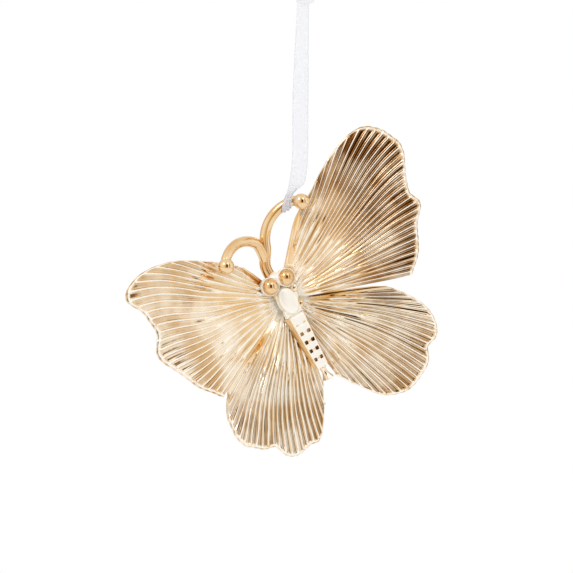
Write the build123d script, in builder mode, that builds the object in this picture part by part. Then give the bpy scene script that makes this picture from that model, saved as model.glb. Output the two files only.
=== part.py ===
from build123d import *
import os
from math import cos, radians, sin

# Butterfly ornament: a ribbed cast butterfly that hangs by one antenna from a loop of ribbon.
# Millimetres, +Z up. The origin is where a hook carries the ribbon loop, just under its knot.
# The butterfly is drawn in its own frame, X across the wings, -Y out of its back, +Z to its head,
# with the body on the Z axis, and is then turned to the way it hangs.

# How the butterfly hangs, in degrees
hang_roll = 28.0
hang_turn = 17.0
hang_lean = 10.0

# Wings: each is a fan of ribs about the hub, with angles in degrees above the span line.
# The hub sits a little to the right of the body.
forewing_reach = 63.0
forewing_tilt = 18.0
forewing_bow = 2.0
forewing_ribs = 30
right_forewing_trail_angle = -16.5
left_forewing_trail_angle = -19.0
right_forewing_lead_angle = 51.0
left_forewing_lead_angle = 60.0
hindwing_reach = 51.5
hindwing_tilt = 15.0
hindwing_bow = 1.0
hindwing_ribs = 24
hindwing_lead_angle = -22.0
hindwing_trail_angle = -84.0
rib_height = 0.8
rim_scallop = 0.5
sheet_thickness = 1.2
edge_thickness = 2.2
edge_fan_share = 0.1
wing_shift = 1.2
fit_gap = 0.1

# Rim radius at even steps from leading to trailing edge, as shares of the wing's reach
right_forewing_shares = (0.51, 0.75, 0.94, 1.00, 1.00, 0.96, 0.89, 0.86, 0.85, 0.78, 0.74, 0.71, 0.66)
left_forewing_shares = (0.31, 0.40, 0.54, 0.75, 0.93, 0.97, 0.88, 0.83, 0.87, 0.82, 0.78, 0.74, 0.68)
right_hindwing_shares = (0.66, 0.78, 0.90, 0.97, 0.99, 0.97, 1.00, 1.00, 0.99, 0.96, 0.88, 0.73, 0.60)
left_hindwing_shares = (0.77, 0.87, 0.94, 0.98, 0.99, 0.98, 0.95, 0.99, 0.98, 0.94, 0.90, 0.77, 0.62)

# Hub that the wing roots are brazed round, and the beads of the brazing
hub_radius = 3.4
hub_front = 2.8
hub_back = 1.6
fore_bead_radius = 1.3
fore_bead_angle = 30.0
hind_bead_radius = 1.6
hind_bead_angle = -46.0
bead_stand_share = 0.8

# Thorax: an oval plate with a domed front
thorax_width = 6.4
thorax_length = 8.6
thorax_wall = 1.5
thorax_dome = 2.4
thorax_rise = 0.2
dome_middle_share = 0.75
dome_shoulder_share = 0.88
dome_top_share = 0.6

# Waist band, abdomen with its trough and rungs, and the flared tail
waist_length = 2.6
waist_width = 6.6
waist_depth = 2.6
abdomen_length = 19.2
abdomen_back = 2.8
abdomen_depth = 3.3
abdomen_tail_depth = 2.6
abdomen_front_width = 5.2
abdomen_base_width = 7.2
abdomen_tail_share = 0.72
trough_depth = 0.7
rail_width = 0.7
rung_count = 6
rung_radius = 0.95
finial_length = 4.4
finial_neck_radius = 0.9
finial_flare_radius = 2.0
finial_waist_share = 0.35

# Head with its eye cups, and the eyes
eye_radius = 2.6
eye_gap = 1.0
eye_front = 5.2
head_gap = 2.2
cup_wall = 0.45
cup_lip = 0.6
cup_depth = 1.5
head_radius = 2.6
head_front = 3.4
head_lift = 0.8
neck_radius = 1.3

# Antennae: a stem with two branches, each curling over to a ball
wire_radius = 1.55
ball_radius = 2.6
stem_front = 2.3
stem_offset = 0.9
stem_length = 11.6
stem_angle = 72.0
stem_root_share = 0.12
curl_radius = 13.0
tip_radius = 3.5
right_forward_angle = 18.0
right_curl_angle = 77.0
right_tip_angle = 80.0
right_tip_twist = 72.0
left_forward_angle = 30.0
left_start_angle = 65.0
left_curl_angle = 95.0
left_tip_angle = 42.0
left_stem_share = 0.86

# Ribbon loop: two strands, the bight under the wire, the knot and its tails
ribbon_width = 5.1
ribbon_top_width = 3.8
ribbon_thickness = 0.25
ribbon_drop = 63.8
ribbon_top_shift = 1.0
gather_height = 6.0
taper_height = 28.0
bight_width = 3.0
bight_shift = 4.2
bight_clearance = 0.6
bight_neck = 0.4
bight_curl_share = 0.94
knot_radius = 3.2
knot_height = 4.2
knot_rounding = 0.45
knot_shift = 1.6
tail_length = 11.0
tail_spread_angle = 24.0
tail_root_share = 0.8

head_wards = Vector(0, 0, 1)


def smooth_share(shares, place):
    """Value at place, from 0 to 1, of a smooth curve through evenly spaced shares."""
    steps = len(shares) - 1
    index = min(int(place * steps), steps - 1)
    part_way = place * steps - index
    start, end = shares[index], shares[index + 1]
    start_slope = (end - shares[max(index - 1, 0)]) / 2
    end_slope = (shares[min(index + 2, steps)] - start) / 2
    rise = end - start
    square, cube = part_way**2, part_way**3
    bend = start_slope * (cube - 2 * square + part_way) + end_slope * (cube - square)
    return start + rise * (3 * square - 2 * cube) + bend


def wing_axes(side, tilt):
    """Unit vectors of a wing's span and of its face; side is 1 on the right and -1 on the left."""
    span = Vector(side * cos(radians(tilt)), -sin(radians(tilt)), 0)
    face = Vector(-side * sin(radians(tilt)), -cos(radians(tilt)), 0)
    return span, face


def wing_crown(radius, reach, bow):
    """How far the wing bows forward of its flat fan at a radius."""
    return 4 * bow * radius / reach * (1 - radius / reach)


def wing(side, tilt, bow, reach, shares, lead_angle, trail_angle, ribs):
    """One ribbed wing: radial sections, every second one raised to a rib, cut to the hub."""
    span, face = wing_axes(side, tilt)
    root = hub_radius / 2
    steps = 2 * ribs
    with BuildPart() as fan:
        for step in range(steps + 1):
            place = step / steps
            angle = radians(lead_angle + (trail_angle - lead_angle) * place)
            along = span * cos(angle) + head_wards * sin(angle)
            rib = step % 2
            rim = reach * smooth_share(shares, place) + rim_scallop * (rib - 1)
            middle = (root + rim) / 2
            edge_share = max(0, 1 - place / edge_fan_share)
            thickness = sheet_thickness + (edge_thickness - sheet_thickness) * edge_share
            heights = [wing_crown(r, reach, bow) + rib * rib_height * r / reach for r in (root, middle, rim)]
            with BuildSketch(Plane(origin=(0, 0, 0), x_dir=along, z_dir=along.cross(face))):
                with BuildLine():
                    front = ThreePointArc((root, heights[0]), (middle, heights[1]), (rim, heights[2]))
                    back = ThreePointArc(
                        (rim, heights[2] - thickness),
                        (middle, heights[1] - thickness),
                        (root, heights[0] - thickness),
                    )
                    Line(front @ 1, back @ 0)
                    Line(back @ 1, front @ 0)
                make_face()
        loft(ruled=True, clean=False)
        with Locations((0, (hub_back - hub_front) / 2, 0)):
            Cylinder(hub_radius, reach, rotation=(90, 0, 0), mode=Mode.SUBTRACT)
    return Pos(wing_shift, 0, 0) * fan.part


def wing_bead_place(side, tilt, bow, reach, angle, radius):
    """Centre of a brazing bead that rests on the wing's front at the hub."""
    span, face = wing_axes(side, tilt)
    distance = hub_radius + radius * bead_stand_share
    flat = span * distance * cos(radians(angle)) + head_wards * distance * sin(radians(angle))
    crown = wing_crown(distance + radius, reach, bow) + rib_height * (distance + radius) / reach
    return flat + face * (crown + radius + fit_gap) + Vector(wing_shift, 0, 0)


# Wings
forewing = (forewing_tilt, forewing_bow, forewing_reach)
hindwing = (hindwing_tilt, hindwing_bow, hindwing_reach)
hind_ribs = (hindwing_lead_angle, hindwing_trail_angle, hindwing_ribs)
right_fan = (right_forewing_lead_angle, right_forewing_trail_angle, forewing_ribs)
left_fan = (left_forewing_lead_angle, left_forewing_trail_angle, forewing_ribs)
right_forewing = wing(1, *forewing, right_forewing_shares, *right_fan)
left_forewing = wing(-1, *forewing, left_forewing_shares, *left_fan)
right_hindwing = wing(1, *hindwing, right_hindwing_shares, *hind_ribs)
left_hindwing = wing(-1, *hindwing, left_hindwing_shares, *hind_ribs)

# Wing hub
hub_face = Plane(origin=(0, -hub_front, 0), x_dir=(1, 0, 0), z_dir=(0, -1, 0))
with BuildPart() as wing_hub:
    with BuildSketch(hub_face):
        with Locations((wing_shift, 0)):
            Circle(hub_radius)
    extrude(amount=-hub_front - hub_back)

# Thorax: the dome is half of an oval turned about the plate's long axis
thorax_face = hub_face.offset(thorax_wall)
with BuildPart() as thorax:
    with BuildSketch(hub_face):
        with Locations((0, thorax_rise)):
            Ellipse(thorax_width / 2, thorax_length / 2)
    extrude(amount=thorax_wall)
    with BuildSketch(thorax_face):
        with Locations((0, thorax_rise)):
            Ellipse(thorax_width / 2, thorax_length / 2)
    with BuildSketch(thorax_face.offset(thorax_dome * dome_middle_share)):
        with Locations((0, thorax_rise)):
            Ellipse(thorax_width / 2 * dome_shoulder_share, thorax_length / 2 * dome_shoulder_share)
    with BuildSketch(thorax_face.offset(thorax_dome)):
        with Locations((0, thorax_rise)):
            Ellipse(thorax_width / 2 * dome_top_share, thorax_length / 2 * dome_top_share)
    loft()

# Waist band, notched to the thorax
thorax_foot = thorax_rise - thorax_length / 2
waist_top = thorax_foot + waist_length / 2
with BuildPart() as waist_band:
    with BuildSketch(Plane.XY.offset(waist_top)):
        with Locations((0, -abdomen_back - waist_depth / 2)):
            Rectangle(waist_width, waist_depth)
    extrude(amount=-waist_length)
    fillet(waist_band.edges().filter_by(Axis.Z), waist_depth / 4)
    add(thorax.part, mode=Mode.SUBTRACT)

# Abdomen: tapers to the tail, with a trough between two rails
abdomen_top = waist_top - waist_length
abdomen_end = abdomen_top - abdomen_length


def abdomen_outline(front_width, base_width, depth):
    """Corner points of the abdomen's section, wider at its back."""
    front = -abdomen_back - depth
    half_front, half_base = front_width / 2, base_width / 2
    return (-half_base, -abdomen_back), (-half_front, front), (half_front, front), (half_base, -abdomen_back)


def trough_width(place):
    """Width between the rails at a place from 0 at the waist to 1 at the tail."""
    front_width = abdomen_front_width * (1 + (abdomen_tail_share - 1) * place)
    return front_width - 2 * rail_width


def trough_floor(place):
    """Y of the trough's floor at a place from 0 at the waist to 1 at the tail."""
    return -abdomen_back - abdomen_depth + (abdomen_depth - abdomen_tail_depth) * place + trough_depth


tail_front_width = abdomen_front_width * abdomen_tail_share
tail_base_width = abdomen_base_width * abdomen_tail_share
with BuildPart() as abdomen:
    with BuildSketch(Plane.XY.offset(abdomen_top)):
        Polygon(*abdomen_outline(abdomen_front_width, abdomen_base_width, abdomen_depth), align=None)
    with BuildSketch(Plane.XY.offset(abdomen_end)):
        Polygon(*abdomen_outline(tail_front_width, tail_base_width, abdomen_tail_depth), align=None)
    loft(ruled=True)
    for place, height in ((0, abdomen_top), (1, abdomen_end)):
        with BuildSketch(Plane.XY.offset(height)):
            with Locations((0, trough_floor(place) - trough_depth)):
                Rectangle(trough_width(place), 2 * trough_depth)
    loft(ruled=True, mode=Mode.SUBTRACT)

# Abdomen rungs: rounded bars laid in the trough from rail to rail
with BuildPart() as abdomen_rungs:
    for rung in range(rung_count):
        place = (rung + 0.5) / rung_count
        with Locations((0, trough_floor(place), abdomen_top - abdomen_length * place)):
            Cylinder(rung_radius, trough_width(place) + rail_width, rotation=(0, 90, 0))
    add(abdomen.part, mode=Mode.SUBTRACT)

# Tail finial
finial_axis_y = -abdomen_back - abdomen_tail_depth / 2
with BuildPart() as tail_finial:
    with BuildSketch(Plane(origin=(0, finial_axis_y, abdomen_end), x_dir=(1, 0, 0), z_dir=(0, -1, 0))):
        with BuildLine():
            waist = (finial_neck_radius, -finial_length * finial_waist_share)
            flare = ThreePointArc((abdomen_tail_depth / 2, 0), waist, (finial_flare_radius, -finial_length))
            Polyline(flare @ 1, (0, -finial_length), (0, 0), flare @ 0)
        make_face()
    revolve(axis=Axis((0, finial_axis_y, abdomen_end), (0, 0, 1)))

# Head: two eye cups and a crown ball on a neck that stands on the hub
eye_rise = thorax_rise + thorax_length / 2 + head_gap
eye_x = eye_radius + eye_gap / 2
eye_places = [(side * eye_x, -eye_front, eye_rise) for side in (1, -1)]
head_rise = eye_rise + head_lift
cup_radius = eye_radius + cup_wall
with BuildPart() as head:
    with BuildSketch(Plane.XZ.offset(eye_front - cup_depth)):
        with Locations((eye_x, eye_rise), (-eye_x, eye_rise)):
            Circle(cup_radius)
    extrude(amount=cup_depth + cup_lip)
    with Locations((0, -head_front, head_rise)):
        Sphere(head_radius)
    with BuildSketch(Plane.XY):
        with Locations((wing_shift, -neck_radius)):
            Circle(neck_radius)
    extrude(amount=head_rise)
    with Locations(*eye_places):
        Sphere(eye_radius + fit_gap / 2, mode=Mode.SUBTRACT)
    add(thorax.part, mode=Mode.SUBTRACT)
    add(wing_hub.part, mode=Mode.SUBTRACT)

with BuildPart() as right_eye:
    with Locations(eye_places[0]):
        Sphere(eye_radius)

with BuildPart() as left_eye:
    with Locations(eye_places[1]):
        Sphere(eye_radius)

# Brazing beads, two on the forewing roots and two on the hindwing roots
with BuildPart() as brazing_beads:
    for side in (1, -1):
        with Locations(wing_bead_place(side, *forewing, fore_bead_angle, fore_bead_radius)):
            Sphere(fore_bead_radius, rotation=(0, 90, 0))
        with Locations(wing_bead_place(side, *hindwing, hind_bead_angle, hind_bead_radius)):
            Sphere(hind_bead_radius, rotation=(0, 90, 0))
    add(thorax.part, mode=Mode.SUBTRACT)
    for neighbour in (waist_band, abdomen, wing_hub):
        add(neighbour.part, mode=Mode.SUBTRACT)


def antenna_plane(side, forward_angle, origin):
    """Upright plane in which an antenna curls, outwards to its side and forwards."""
    outward = Vector(side * cos(radians(forward_angle)), -sin(radians(forward_angle)), 0)
    return Plane(origin=origin, x_dir=outward, z_dir=outward.cross(head_wards))


def heading(angle):
    """Direction at an angle in degrees above the outward line."""
    return cos(radians(angle)), sin(radians(angle))


# Right antenna: the stem, the large curl and a tip turned forward to its ball, in one wire
right_plane = antenna_plane(1, right_forward_angle, (0, -stem_front, head_rise))
with BuildLine(right_plane) as right_path:
    stem_way = heading(stem_angle)
    stem_ends = [
        (stem_length * share * stem_way[0] - stem_offset, stem_length * share * stem_way[1])
        for share in (stem_root_share, 1)
    ]
    stem = Line(*stem_ends)
    right_curl = JernArc(stem @ 1, stem % 1, curl_radius, -right_curl_angle)
curl_way = right_curl % 1
tip_turn = curl_way.cross(right_plane.z_dir).rotate(Axis((0, 0, 0), curl_way), -right_tip_twist)
with BuildLine(Plane(origin=right_curl @ 1, x_dir=curl_way, z_dir=curl_way.cross(tip_turn))):
    right_tip = JernArc((0, 0), (1, 0), tip_radius, right_tip_angle)
right_wire = Wire([stem, right_curl, right_tip])
with BuildPart() as right_antenna:
    with BuildSketch(Plane(origin=right_wire @ 0, z_dir=right_wire % 0)):
        Circle(wire_radius)
    sweep(path=right_wire)
    with Locations(right_wire @ 1):
        Sphere(ball_radius, mode=Mode.SUBTRACT)
    add(head.part, mode=Mode.SUBTRACT)
with BuildPart() as right_antenna_ball:
    with Locations(right_wire @ 1):
        Sphere(ball_radius)

# Left antenna: a branch from the stem
with BuildLine(antenna_plane(-1, left_forward_angle, stem @ left_stem_share)) as left_path:
    left_curl = JernArc((0, 0), heading(left_start_angle), curl_radius, -left_curl_angle)
    JernArc(left_curl @ 1, left_curl % 1, tip_radius, -left_tip_angle)
left_wire = left_path.wire()
with BuildPart() as left_antenna:
    with BuildSketch(Plane(origin=left_wire @ 0, z_dir=left_wire % 0)):
        Circle(wire_radius)
    sweep(path=left_wire)
    with Locations(left_wire @ 1):
        Sphere(ball_radius, mode=Mode.SUBTRACT)
    add(right_antenna.part, mode=Mode.SUBTRACT)
with BuildPart() as left_antenna_ball:
    with Locations(left_wire @ 1):
        Sphere(ball_radius)

# The hang: the butterfly is turned, and the bight's place on the wire goes under the hook
turned = Rotation(0, -hang_roll, 0) * Rotation(hang_lean, 0, 0) * Rotation(0, 0, hang_turn)
bight_place = Vector(-bight_shift, 0, -ribbon_drop)
hang = Pos(*(bight_place - (turned * Pos(*(right_curl @ bight_curl_share))).position)) * turned
wire_way = (turned * Pos(*(right_curl % bight_curl_share))).position
wire_slope = wire_way.Z / wire_way.X

# Ribbon bight: a band that follows the wire and carries it from below
bight_radius = wire_radius / wire_way.X + bight_clearance
bight_riser = bight_radius + ribbon_thickness + bight_neck
band_way = Vector(1, 0, wire_slope)
band_start = bight_place - band_way * bight_width / 2
with BuildPart() as ribbon_bight:
    with BuildSketch(Plane(origin=band_start, x_dir=(0, 1, 0), z_dir=(1, 0, 0))):
        for radius, mode in ((bight_radius + ribbon_thickness, Mode.ADD), (bight_radius, Mode.SUBTRACT)):
            Circle(radius, mode=mode)
            Rectangle(2 * radius, bight_riser, align=(Align.CENTER, Align.MIN), mode=mode)
    extrude(amount=bight_width * band_way.length, dir=band_way)


def strand(side):
    """One strand of the ribbon from the knot to the bight; side is -1 in front and 1 behind."""
    depth = side * (bight_radius + ribbon_thickness / 2)
    gather_top = ribbon_drop - bight_riser - gather_height
    left, right = [], []
    for edge, points in ((-1, left), (1, right)):
        band_edge = edge * bight_width / 2
        points.append((ribbon_top_shift + edge * ribbon_top_width / 2, 0))
        points.append((edge * ribbon_width / 2, -taper_height))
        points.append((edge * ribbon_width / 2, -gather_top))
        points.append((band_edge - bight_shift, bight_riser - ribbon_drop + band_edge * wire_slope))
    with BuildPart() as ribbon:
        with BuildSketch(Plane(origin=(0, depth, 0), x_dir=(1, 0, 0), z_dir=(0, -1, 0))):
            Polygon(*left, *reversed(right), align=None)
        extrude(amount=ribbon_thickness / 2, both=True)
    return ribbon.part


# Ribbon knot, a drum with rounded edges, and the two tails above it
with BuildPart() as ribbon_knot:
    with Locations((knot_shift, 0, 0)):
        Cylinder(knot_radius, knot_height, align=(Align.CENTER, Align.CENTER, Align.MIN))
    fillet(ribbon_knot.edges().filter_by(GeomType.CIRCLE), knot_rounding)
with BuildPart() as ribbon_tails:
    for side in (-1, 1):
        tail_root = (knot_shift, side * ribbon_thickness, knot_height * tail_root_share)
        tail_way = Vector(0, 0, 1).rotate(Axis.Y, side * tail_spread_angle)
        with BuildSketch(Plane(origin=tail_root, x_dir=tail_way.cross(Vector(0, side, 0)), z_dir=(0, side, 0))):
            Rectangle(ribbon_top_width, tail_length, align=(Align.CENTER, Align.MIN))
        extrude(amount=ribbon_thickness)
    add(ribbon_knot.part, mode=Mode.SUBTRACT)

# Every piece goes to its own file, the butterfly's pieces in the place where they hang
butterfly = {
    "right_forewing": right_forewing,
    "left_forewing": left_forewing,
    "right_hindwing": right_hindwing,
    "left_hindwing": left_hindwing,
    "wing_hub": wing_hub.part,
    "brazing_beads": brazing_beads.part,
    "thorax": thorax.part,
    "waist_band": waist_band.part,
    "abdomen": abdomen.part,
    "abdomen_rungs": abdomen_rungs.part,
    "tail_finial": tail_finial.part,
    "head": head.part,
    "right_eye": right_eye.part,
    "left_eye": left_eye.part,
    "right_antenna": right_antenna.part,
    "left_antenna": left_antenna.part,
    "right_antenna_ball": right_antenna_ball.part,
    "left_antenna_ball": left_antenna_ball.part,
}
ribbon_pieces = {
    "ribbon_front_strand": strand(-1),
    "ribbon_back_strand": strand(1),
    "ribbon_bight": ribbon_bight.part,
    "ribbon_knot": ribbon_knot.part,
    "ribbon_tails": ribbon_tails.part,
}
hung_pieces = {name: piece.moved(hang) for name, piece in butterfly.items()}
os.makedirs("parts", exist_ok=True)
for name, piece in {**hung_pieces, **ribbon_pieces}.items():
    piece.label = name
    export_step(piece, f"parts/{name}.step")
print("bight at", bight_place, "wire direction", wire_way, "bight radius", bight_radius)
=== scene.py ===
# %% [markdown]
# # A gilt butterfly on an organza ribbon
# The ornament is a small casting: four ribbed wings brazed round a hub, a body, a head with two
# ball eyes, and two curled antennae that end in balls. A loop of sheer ribbon goes under the right
# antenna, and the butterfly hangs from it tilted to one side. The measured model is loaded first,
# and its box is kept, because what follows may only dress it and not change its size.

# %% Load the frame
from math import cos, pi, radians, sin

import bmesh
import bpy
import numpy as np
from mathutils import Matrix, Vector


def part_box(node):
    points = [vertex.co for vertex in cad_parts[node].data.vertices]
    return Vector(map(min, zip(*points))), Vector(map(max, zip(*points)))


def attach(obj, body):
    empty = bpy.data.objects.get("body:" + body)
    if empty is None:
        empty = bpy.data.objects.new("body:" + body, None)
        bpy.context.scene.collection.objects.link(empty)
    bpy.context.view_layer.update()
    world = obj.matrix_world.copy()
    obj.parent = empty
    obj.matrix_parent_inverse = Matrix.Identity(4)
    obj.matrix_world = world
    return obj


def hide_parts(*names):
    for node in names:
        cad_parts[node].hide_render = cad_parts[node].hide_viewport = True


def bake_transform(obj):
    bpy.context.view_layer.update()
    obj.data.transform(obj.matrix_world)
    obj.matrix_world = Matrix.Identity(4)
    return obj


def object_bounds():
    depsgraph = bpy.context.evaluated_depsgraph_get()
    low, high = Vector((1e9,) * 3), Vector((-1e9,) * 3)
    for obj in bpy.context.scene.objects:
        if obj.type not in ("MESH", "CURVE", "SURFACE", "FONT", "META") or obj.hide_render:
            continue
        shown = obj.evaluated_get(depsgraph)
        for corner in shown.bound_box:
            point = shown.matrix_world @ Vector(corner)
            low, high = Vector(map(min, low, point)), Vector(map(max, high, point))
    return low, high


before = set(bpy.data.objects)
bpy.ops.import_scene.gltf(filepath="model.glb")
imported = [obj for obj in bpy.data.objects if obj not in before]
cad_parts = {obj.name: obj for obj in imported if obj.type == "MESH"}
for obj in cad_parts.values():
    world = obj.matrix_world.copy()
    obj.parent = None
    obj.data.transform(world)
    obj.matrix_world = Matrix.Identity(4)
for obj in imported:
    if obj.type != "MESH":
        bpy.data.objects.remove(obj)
cad_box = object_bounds()
scene = bpy.context.scene
MM = 0.001
print("model box in mm:", [[round(value / MM, 1) for value in corner] for corner in cad_box])

# %% [markdown]
# ## Camera
# The photograph is level and taken from far off, so the lens is long. One pixel is 0.32 mm where
# the ornament hangs, and the hook that carries the ribbon sits at the photograph's top edge.

# %% Camera
PHOTO_PIXELS = 573
PIXEL = 0.32 * MM
HOOK_PIXEL = (300, 4)
CAMERA_DISTANCE = 1.0

camera_data = bpy.data.cameras.new("camera")
camera_data.sensor_width = 36
camera_data.lens = camera_data.sensor_width * CAMERA_DISTANCE / (PHOTO_PIXELS * PIXEL)
camera = bpy.data.objects.new("camera", camera_data)
aim_x = (PHOTO_PIXELS / 2 - HOOK_PIXEL[0]) * PIXEL
aim_z = (HOOK_PIXEL[1] - PHOTO_PIXELS / 2) * PIXEL
camera.location = (aim_x, -CAMERA_DISTANCE, aim_z)
camera.rotation_euler = (radians(90), 0, 0)
scene.collection.objects.link(camera)
scene.camera = camera
print("lens", round(camera_data.lens, 1), "mm")

# %% [markdown]
# ## Helpers for materials and meshes
# Colours are written as the hex codes that a picture shows, and one function turns them into the
# linear values that shaders use. Every piece is one closed skin of points in millimetres. Skins are
# grids of rings: a grid closes round each ring, and its first and last rings shrink to a point.


# %% Helper functions
def to_linear(code):
    """Linear RGBA of an sRGB hex code."""
    levels = [int(code[place : place + 2], 16) / 255 for place in (1, 3, 5)]
    return [v / 12.92 if v <= 0.04045 else ((v + 0.055) / 1.055) ** 2.4 for v in levels] + [1.0]


def add_node(tree, kind, inputs=None, **settings):
    """A new node with its settings and inputs; an input is a value or another node's socket."""
    node = tree.nodes.new(kind)
    for key, value in settings.items():
        setattr(node, key, value)
    for key, value in (inputs or {}).items():
        if isinstance(value, bpy.types.NodeSocket):
            tree.links.new(value, node.inputs[key])
        else:
            node.inputs[key].default_value = value
    return node


def ring_faces(rings, points):
    """Quads of a grid of rings, each ring closed on itself."""
    ring, point = np.meshgrid(np.arange(rings - 1), np.arange(points), indexing="ij")
    following = (point + 1) % points
    corners = [ring * points + point, ring * points + following]
    corners += [(ring + 1) * points + following, (ring + 1) * points + point]
    return np.stack([corner.ravel() for corner in corners], axis=1)


def make_piece(name, grids, material, body, shades=None):
    """A mesh piece in metres from grids of rings in millimetres, merged, closed and smooth."""
    vertices, faces, count = [], [], 0
    for grid in grids:
        rings, points = grid.shape[:2]
        vertices.append(grid.reshape(-1, 3) * MM)
        faces.append(ring_faces(rings, points) + count)
        count += rings * points
    mesh = bpy.data.meshes.new(name)
    mesh.from_pydata(np.concatenate(vertices).tolist(), [], np.concatenate(faces).tolist())
    if shades is not None:
        values = np.broadcast_to(shades, np.shape(shades) or count).ravel().astype(np.float32)
        mesh.attributes.new("recess", "FLOAT", "POINT").data.foreach_set("value", values)
    work = bmesh.new()
    work.from_mesh(mesh)
    bmesh.ops.remove_doubles(work, verts=work.verts, dist=0.001 * MM)
    bmesh.ops.recalc_face_normals(work, faces=work.faces)
    for face in work.faces:
        face.smooth = True
    work.to_mesh(mesh)
    work.free()
    mesh.materials.append(material)
    piece = bpy.data.objects.new(name, mesh)
    scene.collection.objects.link(piece)
    if body:
        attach(piece, body)
    print(name, "has", len(mesh.polygons), "faces")
    return piece


def ease(value, low, high):
    """0 below low, 1 above high, and smooth between them."""
    share = np.clip((value - low) / (high - low), 0, 1)
    return share * share * (3 - 2 * share)


# %% [markdown]
# ## Organza
# The ribbon is a sheer plain weave of fine monofilament, near white, with a denser woven edge. Light
# passes between the threads, so the weave drives the opacity as well as the bump. Its coordinates
# are millimetres across and along the ribbon, and the threads are drawn a little coarse to show.

# %% Organza material
THREAD_PITCH = 0.42
SELVEDGE_START = 0.86

organza = bpy.data.materials.new("white_organza")
organza.use_nodes = True
tree = organza.node_tree
shader = tree.nodes["Principled BSDF"]
weave_place = add_node(tree, "ShaderNodeUVMap", uv_map="weave")
axes = add_node(tree, "ShaderNodeSeparateXYZ", {"Vector": weave_place.outputs["UV"]})
threads = []
for axis in ("X", "Y"):
    turn = add_node(tree, "ShaderNodeMath", {0: axes.outputs[axis], 1: 2 * pi / THREAD_PITCH}, operation="MULTIPLY")
    wave = add_node(tree, "ShaderNodeMath", {0: turn.outputs[0]}, operation="SINE")
    threads.append(wave.outputs[0])
crossing = add_node(tree, "ShaderNodeMath", {0: threads[0], 1: threads[1]}, operation="MAXIMUM")
edge = add_node(tree, "ShaderNodeAttribute", attribute_name="recess")
slub = add_node(
    tree, "ShaderNodeTexNoise", {"Vector": weave_place.outputs["UV"], "Scale": 0.9, "Detail": 3.0}
)
thread_opacity = add_node(
    tree, "ShaderNodeMapRange",
    {"Value": crossing.outputs[0], "From Min": -1.0, "From Max": 1.0, "To Min": 0.14, "To Max": 0.18},
)
slub_opacity = add_node(
    tree, "ShaderNodeMapRange",
    {"Value": slub.outputs[0], "From Min": 0.3, "From Max": 0.7, "To Min": -0.01, "To Max": 0.01},
)
body_opacity = add_node(tree, "ShaderNodeMath", {0: thread_opacity.outputs[0], 1: slub_opacity.outputs[0]})
opacity = add_node(
    tree, "ShaderNodeMath", {0: edge.outputs["Fac"], 1: 0.22, 2: body_opacity.outputs[0]},
    operation="MULTIPLY_ADD", use_clamp=True,
)
tint = add_node(tree, "ShaderNodeMix", {0: slub.outputs[0]}, data_type="RGBA")
tint.inputs[6].default_value = to_linear("#E0E1E8")
tint.inputs[7].default_value = to_linear("#E9EAF0")
weave_bump = add_node(
    tree, "ShaderNodeBump", {"Height": crossing.outputs[0], "Strength": 0.12, "Distance": 0.05 * MM}
)
tree.links.new(tint.outputs[2], shader.inputs["Base Color"])
tree.links.new(opacity.outputs[0], shader.inputs["Alpha"])
tree.links.new(weave_bump.outputs[0], shader.inputs["Normal"])
shader.inputs["Roughness"].default_value = 0.42
shader.inputs["Sheen Weight"].default_value = 0.25
print("organza threads every", THREAD_PITCH, "mm")

# %% [markdown]
# ## Ribbon
# One length of ribbon runs down from the knot in front, round under the antenna's wire, and up again
# behind. It is flat and taut, a little narrower where the knot gathers it, and bunched to a soft
# fold where it carries the wire. Its route is a smooth spline through a few chosen points, and the
# strip is laid on points read from that spline.

# %% Ribbon strip
WIRE_SLOPE = 0.5195
ROUTE = [
    (1.0, -2.47, 0.0), (0.0, -2.47, -28.0), (0.2, -2.47, -56.6), (-4.2, -2.47, -61.8), (-4.2, -2.47, -66.3),
    (-4.2, 2.47, -66.3), (-4.2, 2.47, -61.8), (0.2, 2.47, -56.6), (0.0, 2.47, -28.0), (1.0, 2.47, 0.0),
]
RIBBON_WIDTH = 5.1
TOP_WIDTH = 3.8
BIGHT_WIDTH = 3.3
RIBBON_THICKNESS = 0.14
STRIP_STEPS = 24


def read_spline(name, points):
    """Points in mm along a smooth NURBS spline whose control points are given in mm."""
    curve = bpy.data.curves.new(name, "CURVE")
    curve.dimensions = "3D"
    spline = curve.splines.new("NURBS")
    spline.points.add(len(points) - 1)
    for control, point in zip(spline.points, points):
        control.co = [value * MM for value in point] + [1.0]
    spline.order_u = 3
    spline.use_endpoint_u = True
    spline.resolution_u = 28
    holder = bpy.data.objects.new(name, curve)
    scene.collection.objects.link(holder)
    graph = bpy.context.evaluated_depsgraph_get()
    line = bpy.data.meshes.new_from_object(holder.evaluated_get(graph))
    read = np.array([vertex.co[:] for vertex in line.vertices]) / MM
    bpy.data.objects.remove(holder)
    bpy.data.curves.remove(curve)
    bpy.data.meshes.remove(line)
    moved = np.linalg.norm(np.diff(read, axis=0), axis=1) > 0.01
    return read[np.concatenate([[True], moved])]


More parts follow.
